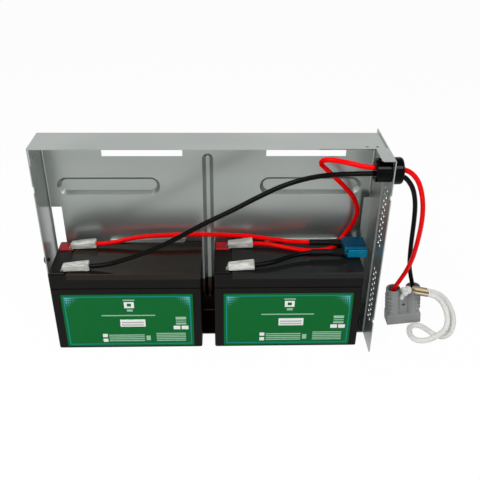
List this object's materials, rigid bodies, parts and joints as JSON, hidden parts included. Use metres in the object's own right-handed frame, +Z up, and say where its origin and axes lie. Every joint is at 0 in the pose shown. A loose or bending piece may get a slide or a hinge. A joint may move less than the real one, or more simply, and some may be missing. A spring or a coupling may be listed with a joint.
{
  "type": "ups battery cartridge",
  "caption": "Open galvanised sheet-metal tray with sealed lead-acid batteries, fused wiring, an end panel with a cable bushing, and leads to a two-pole plug with a pull rope.",
  "frame": {"origin": "bottom centre of the tray with its end panel, bushing and edge bumper, on the surface that it stands on", "axes": "+X along the tray towards the end panel and its cable bushing, +Y from the open front towards the back panel, +Z up"},
  "size_m": [0.4402, 0.0816, 0.2195],
  "materials": {
    "galvanised_steel": "satin",
    "battery_plastic": "satin",
    "cover_plastic": "satin",
    "label_green": "gloss",
    "red_insert": "gloss",
    "black_insert": "gloss",
    "terminal_tin": "satin",
    "receptacle_tin": "satin",
    "sleeve_nylon": "translucent",
    "wire_red": "gloss",
    "wire_black": "gloss",
    "shrink_black": "satin",
    "fuse_blue": "gloss",
    "connector_grey": "satin",
    "contact_silver": "satin",
    "bushing_black": "gloss",
    "bumper_black": "matte",
    "rope_white": "matte",
    "ferrule_brass": "satin"
  },
  "bodies": {
    "root": {"tray": "galvanised_steel", "corner_bracket": "galvanised_steel", "end_panel": "galvanised_steel", "edge_bumper": "bumper_black", "cable_bushing": "bushing_black", "battery_case_left": "battery_plastic", "battery_lid_left": "battery_plastic", "vent_cover_left": "cover_plastic", "label_left": "label_green", "terminal_seat_positive_left": "red_insert", "terminal_positive_left": "terminal_tin", "receptacle_positive_left": "receptacle_tin", "sleeve_positive_left": "sleeve_nylon", "terminal_seat_negative_left": "black_insert", "terminal_negative_left": "terminal_tin", "receptacle_negative_left": "receptacle_tin", "sleeve_negative_left": "sleeve_nylon", "battery_case_right": "battery_plastic", "battery_lid_right": "battery_plastic", "vent_cover_right": "cover_plastic", "label_right": "label_green", "terminal_seat_positive_right": "red_insert", "terminal_positive_right": "terminal_tin", "receptacle_positive_right": "receptacle_tin", "sleeve_positive_right": "sleeve_nylon", "terminal_seat_negative_right": "black_insert", "terminal_negative_right": "terminal_tin", "receptacle_negative_right": "receptacle_tin", "sleeve_negative_right": "sleeve_nylon", "fuse_blade_rear": "terminal_tin", "fuse_clip_rear": "shrink_black", "heat_shrink_rear": "shrink_black", "fuse_blade_front": "terminal_tin", "fuse_clip_front": "shrink_black", "heat_shrink_front": "shrink_black", "fuse_body": "fuse_blue", "connector_housing": "connector_grey", "contact_left": "contact_silver", "contact_right": "contact_silver", "red_jumper": "wire_red", "fuse_lead": "wire_black", "negative_lead": "wire_black", "positive_lead": "wire_red", "rope": "rope_white", "rope_knot": "rope_white", "rope_ferrule": "ferrule_brass"}
  },
  "joints": []
}
